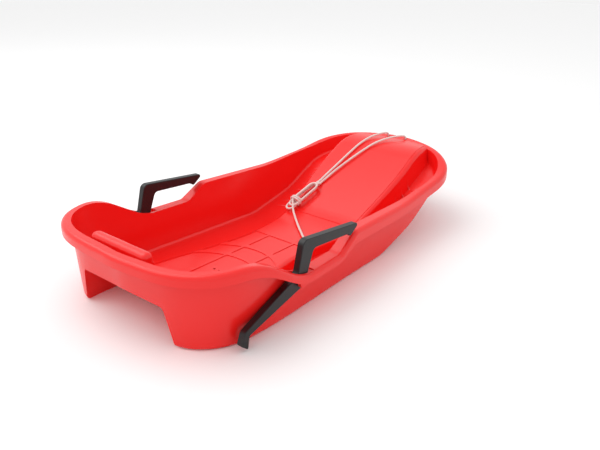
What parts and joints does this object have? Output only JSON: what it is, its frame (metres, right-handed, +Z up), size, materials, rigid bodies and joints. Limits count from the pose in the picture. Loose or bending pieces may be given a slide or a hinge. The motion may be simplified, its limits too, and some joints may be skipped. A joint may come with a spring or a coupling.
{
  "type": "moulded plastic snow sled with hand brakes",
  "caption": "Moulded plastic bob sled with a seat well, toe wells under a raised nose, side brake levers and a pull cord.",
  "frame": {"origin": "on the floor, below the middle of the sled's overall box", "axes": "+X towards the nose, +Y towards the rider's left, +Z up"},
  "size_m": [0.8455, 0.442, 0.158],
  "materials": {
    "hull_plastic": "semi-gloss red moulded plastic",
    "lever_plastic": "satin black moulded plastic",
    "pin_steel": "plain steel pin",
    "cord": "braided pale cord"
  },
  "bodies": {
    "sled": {"hull": "hull_plastic", "pivot_pin_left": "pin_steel", "pivot_pin_right": "pin_steel", "pull_cord_left": "cord", "pull_cord_right": "cord", "pull_cord_tail": "cord", "pull_cord_hank": "cord", "cord_knot_left": "cord", "cord_knot_right": "cord", "cord_knot_end": "cord"},
    "brake_left": {"brake_lever_left": "lever_plastic"},
    "brake_right": {"brake_lever_right": "lever_plastic"}
  },
  "joints": [
    {"name": "brake_pull_left", "type": "hinge", "parent": "sled", "child": "brake_left", "pos_m": [-0.199, 0.204, 0.07], "axis": [0, -1, 0], "range_deg": [0, 30]},
    {"name": "brake_pull_right", "type": "hinge", "parent": "sled", "child": "brake_right", "pos_m": [-0.199, -0.204, 0.07], "axis": [0, -1, 0], "range_deg": [0, 30]}
  ]
}
